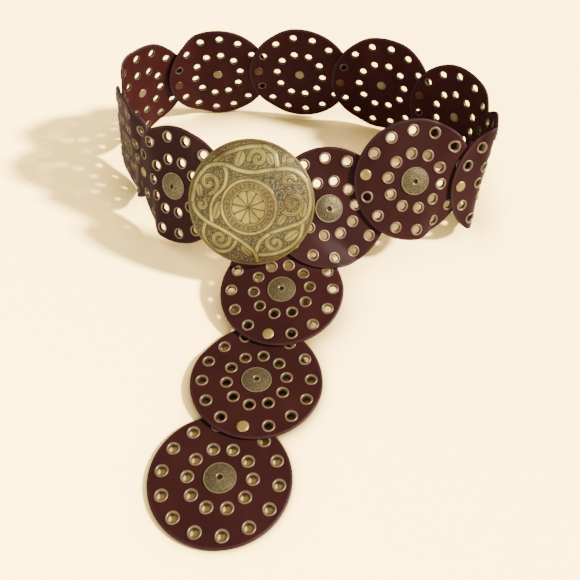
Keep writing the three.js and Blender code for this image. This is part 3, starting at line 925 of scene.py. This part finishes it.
def build_buckle(plain_brass):
    face, plain = range(2)
    axes = axes_of(BUCKLE_ROW)
    corners = np.array([v.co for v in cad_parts["buckle_plate"].data.vertices])
    depth = corners @ axes[2]
    rim = corners[depth < depth.min() + 0.01 * MM]
    middle = rim.mean(0) + axes[2] * BUCKLE_LIP

    shares = np.linspace(0, 1, PLATE_RINGS + 1)[1:]
    turns = np.arange(PLATE_SIDES) * 2 * math.pi / PLATE_SIDES
    reach = np.repeat(shares * BUCKLE_RADIUS, PLATE_SIDES)
    turn = np.tile(turns, PLATE_RINGS)
    flat = np.stack([reach * np.cos(turn), reach * np.sin(turn)], 1)
    flat = np.vstack([[0, 0], flat])
    raised, line, ground, patina = engraving(flat / MM)
    share = np.hypot(flat[:, 0], flat[:, 1]) / BUCKLE_RADIUS
    height = dome_height(share, DOME_HEIGHT)
    height += np.clip((1 - share) / RELIEF_FADE, 0, 1) * (RELIEF * raised - CUT * line)
    points = np.column_stack([flat, height])
    mesh = Mesh()
    rings = [[0]] + [list(range(1 + r * PLATE_SIDES, 1 + (r + 1) * PLATE_SIDES)) for r in range(PLATE_RINGS)]
    mesh.add(points.tolist(), join_rings(rings, PLATE_SIDES), face,
             line=line.tolist(), ground=ground.tolist(), patina=patina.tolist(), raised=raised.tolist())

    # The turned-down edge and the hollow back, joined to the last ring of the front
    inner = BUCKLE_RADIUS - BUCKLE_WALL
    inner_height = DOME_HEIGHT - BUCKLE_WALL
    profile = [(BUCKLE_RADIUS, -0.4 * MM), (BUCKLE_RADIUS - 0.1 * MM, -BUCKLE_LIP * 0.8),
               (BUCKLE_RADIUS - 0.5 * MM, -BUCKLE_LIP), (inner + 0.3 * MM, -BUCKLE_LIP),
               (inner, -BUCKLE_LIP * 0.7)]
    profile += [(inner * s, dome_height(s, inner_height)) for s in BACK_SHARES]
    last = rings[-1]
    rings = [last]
    for radius, level in profile:
        first = len(mesh.points)
        mesh.add([(radius * math.cos(t), radius * math.sin(t), level) for t in turns], [])
        rings.append(list(range(first, first + PLATE_SIDES)))
    mesh.add([(0, 0, inner_height)], [])
    rings.append([len(mesh.points) - 1])
    back = join_rings(rings, PLATE_SIDES)
    mesh.faces.extend(back)
    mesh.slots.extend([plain] * len(back))
    piece = mesh.build("buckle_face", [make_buckle_brass(), plain_brass],
                       lambda local: middle + local @ axes, 50)
    own(piece, "buckle", "buckle_plate")
    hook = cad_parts["buckle_hook"]
    hook.data.materials.clear()
    hook.data.materials.append(plain_brass)


# The renderer's film curve greys a pale floor, so the camera sees the paper brighter than the
# light that it gives back to the belt
PAPER = (0.80, 0.74, 0.64)
PAPER_SEEN = (6.6, 4.7, 1.55)
FLOOR_REACH = 60
# Painted shade: the paper that the camera sees is darkened by ambient occlusion within this reach of the
# belt
CONTACT_SHADE_REACH = 42 * MM
CONTACT_SHADE_POWER = 1.8


def make_floor():
    data = bpy.data.meshes.new("floor")
    corners = [(x * FLOOR_REACH, y * FLOOR_REACH, 0) for x, y in ((-1, -1), (1, -1), (1, 1), (-1, 1))]
    data.from_pydata(corners, [], [(0, 1, 2, 3)])
    floor = bpy.data.objects.new("floor", data)
    bpy.context.scene.collection.objects.link(floor)
    shader = Shader("paper")
    tree = shader.tree
    tree.nodes.remove(shader.surface)
    lit = shader.node("ShaderNodeBsdfDiffuse")
    lit.inputs["Color"].default_value = (*PAPER, 1)
    seen = shader.node("ShaderNodeBsdfDiffuse")
    open_sky = shader.node("ShaderNodeAmbientOcclusion", samples=8)
    open_sky.inputs["Distance"].default_value = CONTACT_SHADE_REACH
    # Painted contact shade: the colour that the camera sees darkens with the occlusion near the belt
    shade = shader.math("POWER", open_sky.outputs["AO"], CONTACT_SHADE_POWER)
    shader.link(shader.mix(shade, (0.0, 0.0, 0.0), PAPER_SEEN), seen.inputs["Color"])
    choose = shader.node("ShaderNodeMixShader")
    shader.link(shader.node("ShaderNodeLightPath").outputs["Is Camera Ray"], choose.inputs["Fac"])
    shader.link(lit.outputs["BSDF"], choose.inputs[1])
    shader.link(seen.outputs["BSDF"], choose.inputs[2])
    shader.link(choose.outputs["Shader"], tree.nodes["Material Output"].inputs["Surface"])
    data.materials.append(shader.material)


# A sun from the right, a soft lamp from the front left, and an even glow
SUN = {"energy": 6.0, "angle": 6, "color": (1.0, 0.955, 0.88), "towards": (-1.3, 0.2, -1.02)}
LAMP = {"energy": 21, "size": 1.8, "color": (1.0, 0.94, 0.86), "place": (-1.2, -1.6, 0.7)}
GLOW = {"strength": 0.25, "color": (1.0, 0.97, 0.92)}


def aim(light, name, towards):
    lamp = bpy.data.objects.new(name, light)
    lamp.rotation_euler = Vector(towards).to_track_quat("-Z", "Y").to_euler()
    bpy.context.scene.collection.objects.link(lamp)
    return lamp


def make_lights():
    sun = bpy.data.lights.new("sun", "SUN")
    sun.energy = SUN["energy"]
    sun.angle = math.radians(SUN["angle"])
    sun.color = SUN["color"]
    aim(sun, "sun", SUN["towards"])
    soft = bpy.data.lights.new("fill", "AREA")
    soft.size = LAMP["size"]
    soft.energy = LAMP["energy"]
    soft.color = LAMP["color"]
    aim(soft, "fill", -Vector(LAMP["place"])).location = LAMP["place"]
    world = bpy.data.worlds.new("studio")
    world.use_nodes = True
    background = world.node_tree.nodes["Background"]
    background.inputs["Color"].default_value = (*GLOW["color"], 1)
    background.inputs["Strength"].default_value = GLOW["strength"]
    bpy.context.scene.world = world


plain = make_plain_brass()
build_discs(plain)
build_buckle(plain)
make_floor()
make_lights()
